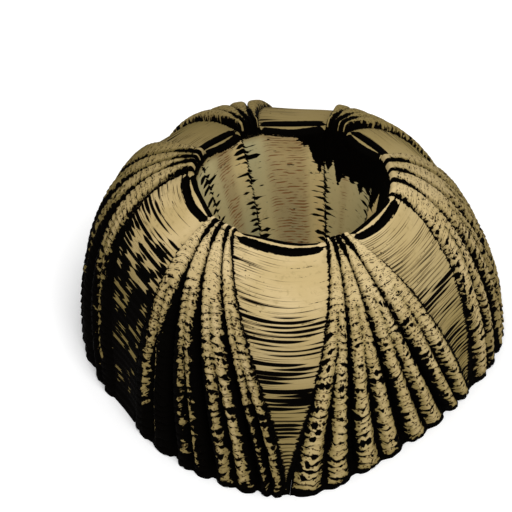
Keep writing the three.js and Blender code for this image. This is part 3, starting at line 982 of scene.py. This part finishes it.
def calciteMaterial(slot):
    # Calcite, grown in layers: chalky and matt, with black silt in every groove, crack and pit. The
    # same black paints a shadow in the chamber and shade on the left side, and painted shade
    # darkens the tone.
    pale, body, shaded = (linear(colour) for colour in shellLooks[slot])
    line, siltAndShadeBlack, rust = (linear(shellLooks[name]) for name in ("line", "siltAndShade", "stain"))
    material = bpy.data.materials.new(slot + "_calcite")
    material.use_nodes = True
    tree = material.node_tree
    tree.nodes.clear()
    read = {}
    for name in bareShell:
        read[name] = addNode(tree, "Attribute", {"attribute_name": name}).outputs["Fac"]
    coords = addNode(tree, "TexCoord").outputs["Object"]
    sizes = {name: 1 / (shellLooks[name + "Mm"] * mm) for name in ("cloud", "grain", "pit", "jag")}
    cloud = addNode(tree, "TexNoise", {}, {"Vector": coords, "Scale": sizes["cloud"], "Detail": 4})
    grain = addNode(tree, "TexNoise", {}, {"Vector": coords, "Scale": sizes["grain"], "Detail": 3})
    jag = addNode(tree, "TexNoise", {}, {
        "Vector": coords, "Scale": sizes["jag"], "Detail": 2, "Roughness": 0.7,
    })

    # tone of the bare shell
    clouds = addNode(tree, "MapRange", {}, {"Value": cloud, "From Min": 0.38, "From Max": 0.62})
    tone = addNode(tree, "Mix", colourMix, {"Factor": clouds, "A": body, "B": pale})
    tone = addNode(tree, "Mix", colourMix, {"Factor": read["shade"], "A": tone, "B": shaded})
    inside = addNode(tree, "Mix", colourMix, {
        "Factor": read["shade"],
        "A": linear(shellLooks["chamberPale"]),
        "B": linear(shellLooks["chamberGrey"]),
    })
    tone = addNode(tree, "Mix", colourMix, {"Factor": read["chamber"], "A": tone, "B": inside})
    rusty = addNode(tree, "Math", times, {0: read["stain"], 1: shellLooks["rustTint"]})
    tone = addNode(tree, "Mix", colourMix, {"Factor": rusty, "A": tone, "B": rust})
    dusty = addNode(tree, "MapRange", {}, {
        "Value": grain, "From Min": 0.58, "From Max": 0.75, "To Max": shellLooks["dustTint"],
    })
    tone = addNode(tree, "Mix", colourMix, {"Factor": dusty, "A": tone, "B": shaded})

    # pits, and hairlines that are twice as close as the lines of silt, in dark brown
    doubleRow = addNode(tree, "Math", times, {0: read["row"], 1: 2})
    halfPitch = addNode(tree, "Math", times, {0: read["pitch"], 1: 0.5})
    fineWide = addNode(tree, "Math", times, {0: read["wide"], 1: 1.7})
    fineEdge = siltLine(tree, doubleRow, halfPitch, fineWide, read["fine"])
    fineLine = addNode(tree, "MapRange", {}, {
        "Value": fineEdge, "From Min": 0.02, "From Max": -0.04,
        "To Max": shellLooks["hairlineTint"],
    })
    shaken = addNode(tree, "VectorMath", timesPlus, {
        0: jag.outputs["Color"], 1: [shellLooks["pitShake"] * mm] * 3, 2: coords,
    })
    pits = addNode(tree, "TexVoronoi", {}, {"Vector": shaken, "Scale": sizes["pit"]})
    pitChance = addNode(tree, "SeparateColor", {}, {"Color": pits.outputs["Color"]})
    pitSize = addNode(tree, "Math", plus, {0: pitChance, 1: read["pitting"]})
    pitSize = addNode(tree, "MapRange", {}, {
        "Value": pitSize, "From Min": 0.95, "From Max": 1.9, "To Max": shellLooks["pitLargest"],
    })
    pitEdge = addNode(tree, "Math", minus, {0: pitSize, 1: pits.outputs["Distance"]})
    pit = addNode(tree, "MapRange", {}, {
        "Value": pitEdge, "From Min": -0.04, "From Max": 0.05, "To Max": shellLooks["pitTint"],
    })
    lineColour = addNode(tree, "Mix", colourMix, {"Factor": read["chamber"], "A": line, "B": rust})
    tone = addNode(tree, "Mix", colourMix, {"Factor": fineLine, "A": tone, "B": lineColour})
    tone = addNode(tree, "Mix", colourMix, {"Factor": pit, "A": tone, "B": line})

    # silt, painted shade and painted shadow, with an edge that is ragged along the lines, and lines
    # of silt
    tallRow = addNode(tree, "Math", times, {0: read["row"], 1: 2.1})
    grown = addNode(tree, "CombineXYZ", {}, {"X": read["wide"], "Y": tallRow})
    teeth = addNode(tree, "TexNoise", flatNoise, {"Vector": grown, "Scale": 1, "Detail": 2})
    jagWidth, teethWidth = shellLooks["jagWidth"], shellLooks["teethWidth"]
    rough = addNode(tree, "Math", timesPlus, {0: jag, 1: jagWidth, 2: -jagWidth / 2})
    rough = addNode(tree, "Math", timesPlus, {0: teeth, 1: teethWidth, 2: rough})
    siltEdge = addNode(tree, "Math", plus, {0: read["siltAndShade"], 1: rough})
    siltEdge = addNode(tree, "Math", minus, {0: siltEdge, 1: teethWidth / 2})
    lineEdge = siltLine(tree, read["row"], read["pitch"], read["wide"], read["ink"])
    blackEdge = addNode(tree, "Math", {"operation": "MINIMUM"}, {0: siltEdge, 1: lineEdge})
    black = addNode(tree, "MapRange", {}, {"Value": blackEdge, "From Min": 0.04, "From Max": -0.04})
    tone = addNode(tree, "Mix", colourMix, {"Factor": black, "A": tone, "B": siltAndShadeBlack})

    # lines, pits, silt and the painted shade and shadow lie a little below the bare shell
    marks = addNode(tree, "Math", {"operation": "MAXIMUM"}, {0: fineLine, 1: pit})
    marks = addNode(tree, "Math", {"operation": "MAXIMUM"}, {0: marks, 1: black})
    hollow = addNode(tree, "Math", times, {0: marks, 1: -0.7})
    hollow = addNode(tree, "Math", timesPlus, {0: grain, 1: 0.5, 2: hollow})
    bump = addNode(tree, "Bump", {}, {
        "Height": hollow, "Strength": 0.5, "Distance": shellLooks["bumpMm"] * mm,
    })
    shader = addNode(tree, "BsdfPrincipled", {}, {
        "Base Color": tone,
        "Roughness": shellLooks["roughness"],
        "IOR": shellLooks["ior"],
        "Specular IOR Level": shellLooks["specular"],
        "Normal": bump,
    })
    addNode(tree, "OutputMaterial", {}, {"Surface": shader})
    return material


materials = {slot: calciteMaterial(slot) for slot in ("shell_pale", "shell_tan", "shell_dark")}
print("materials made")


# Plates

def makePlate(plate, index):
    piece = bpy.data.objects.new(plate["node"] + "_shell", plateMesh(plate, index))
    bpy.context.scene.collection.objects.link(piece)

    # the pockets are cut into the closed plate from below
    cutter = pocketCutter(index)
    cut = piece.modifiers.new("pockets", "BOOLEAN")
    cut.operation = "DIFFERENCE"
    cut.solver = "MANIFOLD"
    cut.object = cutter
    applyModifiers(piece)
    cutterMesh = cutter.data
    bpy.data.objects.remove(cutter)
    bpy.data.meshes.remove(cutterMesh)

    piece.data.materials.clear()
    piece.data.materials.append(materials[plate["slot"]])
    piece.data.shade_smooth()
    piece.data.set_sharp_from_angle(angle=math.radians(resolution["sharpFrom"]))
    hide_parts(plate["node"])
    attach(piece, "root")
    print(plate["node"], "made,", len(piece.data.loop_triangles), "triangles")


for index, plate in enumerate(plates):
    makePlate(plate, index)


# Studio

studio = {
    "lens": 500,  # a long lens: the view has next to no perspective
    "seesTo": 10,
    "elevation": 48,
    "pixelsPerMm": 6.853,
    "imageSize": 512,
    "axisPixel": (294.5, 336.0),  # where the growth axis meets the base in the picture
    "floorReach": 3,  # metres, as are the other places and sizes here
    "floor": "#FFFFFF",
    "floorRoughness": 0.9,
    "world": "#FFFFFF",
    "floorGlow": 0.2,  # lifts the paper to a clean white
    "worldStrength": 0.62,
    "keyPower": 1.3,
    "keySize": 0.2,
    "keyFrom": (0.06, -0.20, 0.50),
    "keyAt": (0, 0, 0.015),
}


def makeCamera():
    camera = bpy.data.objects.new("camera", bpy.data.cameras.new("camera"))
    camera.data.lens = studio["lens"]
    camera.data.clip_end = studio["seesTo"]
    tilt = math.radians(studio["elevation"])
    back = Vector((0, -math.cos(tilt), math.sin(tilt)))
    up = Vector((0, math.sin(tilt), math.cos(tilt)))
    offX = (studio["imageSize"] / 2 - studio["axisPixel"][0]) / studio["pixelsPerMm"]
    offY = (studio["axisPixel"][1] - studio["imageSize"] / 2) / studio["pixelsPerMm"]
    axis = Vector((*crown["axisFromOrigin"], 0))
    target = (axis + Vector((offX, 0, 0)) + up * offY) * mm
    width = studio["imageSize"] / studio["pixelsPerMm"] * mm
    distance = width * studio["lens"] / camera.data.sensor_width
    camera.location = target + back * distance
    camera.rotation_euler = (math.pi / 2 - tilt, 0, 0)
    bpy.context.scene.collection.objects.link(camera)
    bpy.context.scene.camera = camera


def makeStudio():
    sheet = bmesh.new()
    bmesh.ops.create_grid(sheet, x_segments=1, y_segments=1, size=studio["floorReach"])
    mesh = bpy.data.meshes.new("floor")
    sheet.to_mesh(mesh)
    sheet.free()
    floor = bpy.data.objects.new("floor", mesh)
    bpy.context.scene.collection.objects.link(floor)

    # Matt paper: white, without gloss, so that the shell's shadow is soft and pale.
    paper = bpy.data.materials.new("matt_paper")
    paper.use_nodes = True
    coat = paper.node_tree.nodes["Principled BSDF"]
    coat.inputs["Base Color"].default_value = linear(studio["floor"])
    coat.inputs["Roughness"].default_value = studio["floorRoughness"]
    coat.inputs["Emission Color"].default_value = linear(studio["floor"])
    coat.inputs["Emission Strength"].default_value = studio["floorGlow"]
    mesh.materials.append(paper)

    world = bpy.data.worlds.new("studio")
    bpy.context.scene.world = world
    world.use_nodes = True
    background = world.node_tree.nodes["Background"]
    background.inputs["Color"].default_value = linear(studio["world"])
    background.inputs["Strength"].default_value = studio["worldStrength"]

    key = bpy.data.lights.new("key", "AREA")
    key.energy = studio["keyPower"]
    key.size = studio["keySize"]
    lamp = bpy.data.objects.new("key", key)
    lamp.location = studio["keyFrom"]
    aim = Vector(studio["keyAt"]) - lamp.location
    lamp.rotation_euler = aim.to_track_quat("-Z", "Y").to_euler()
    bpy.context.scene.collection.objects.link(lamp)
    bpy.context.scene.view_settings.view_transform = "Standard"


makeCamera()
makeStudio()
print("studio made")
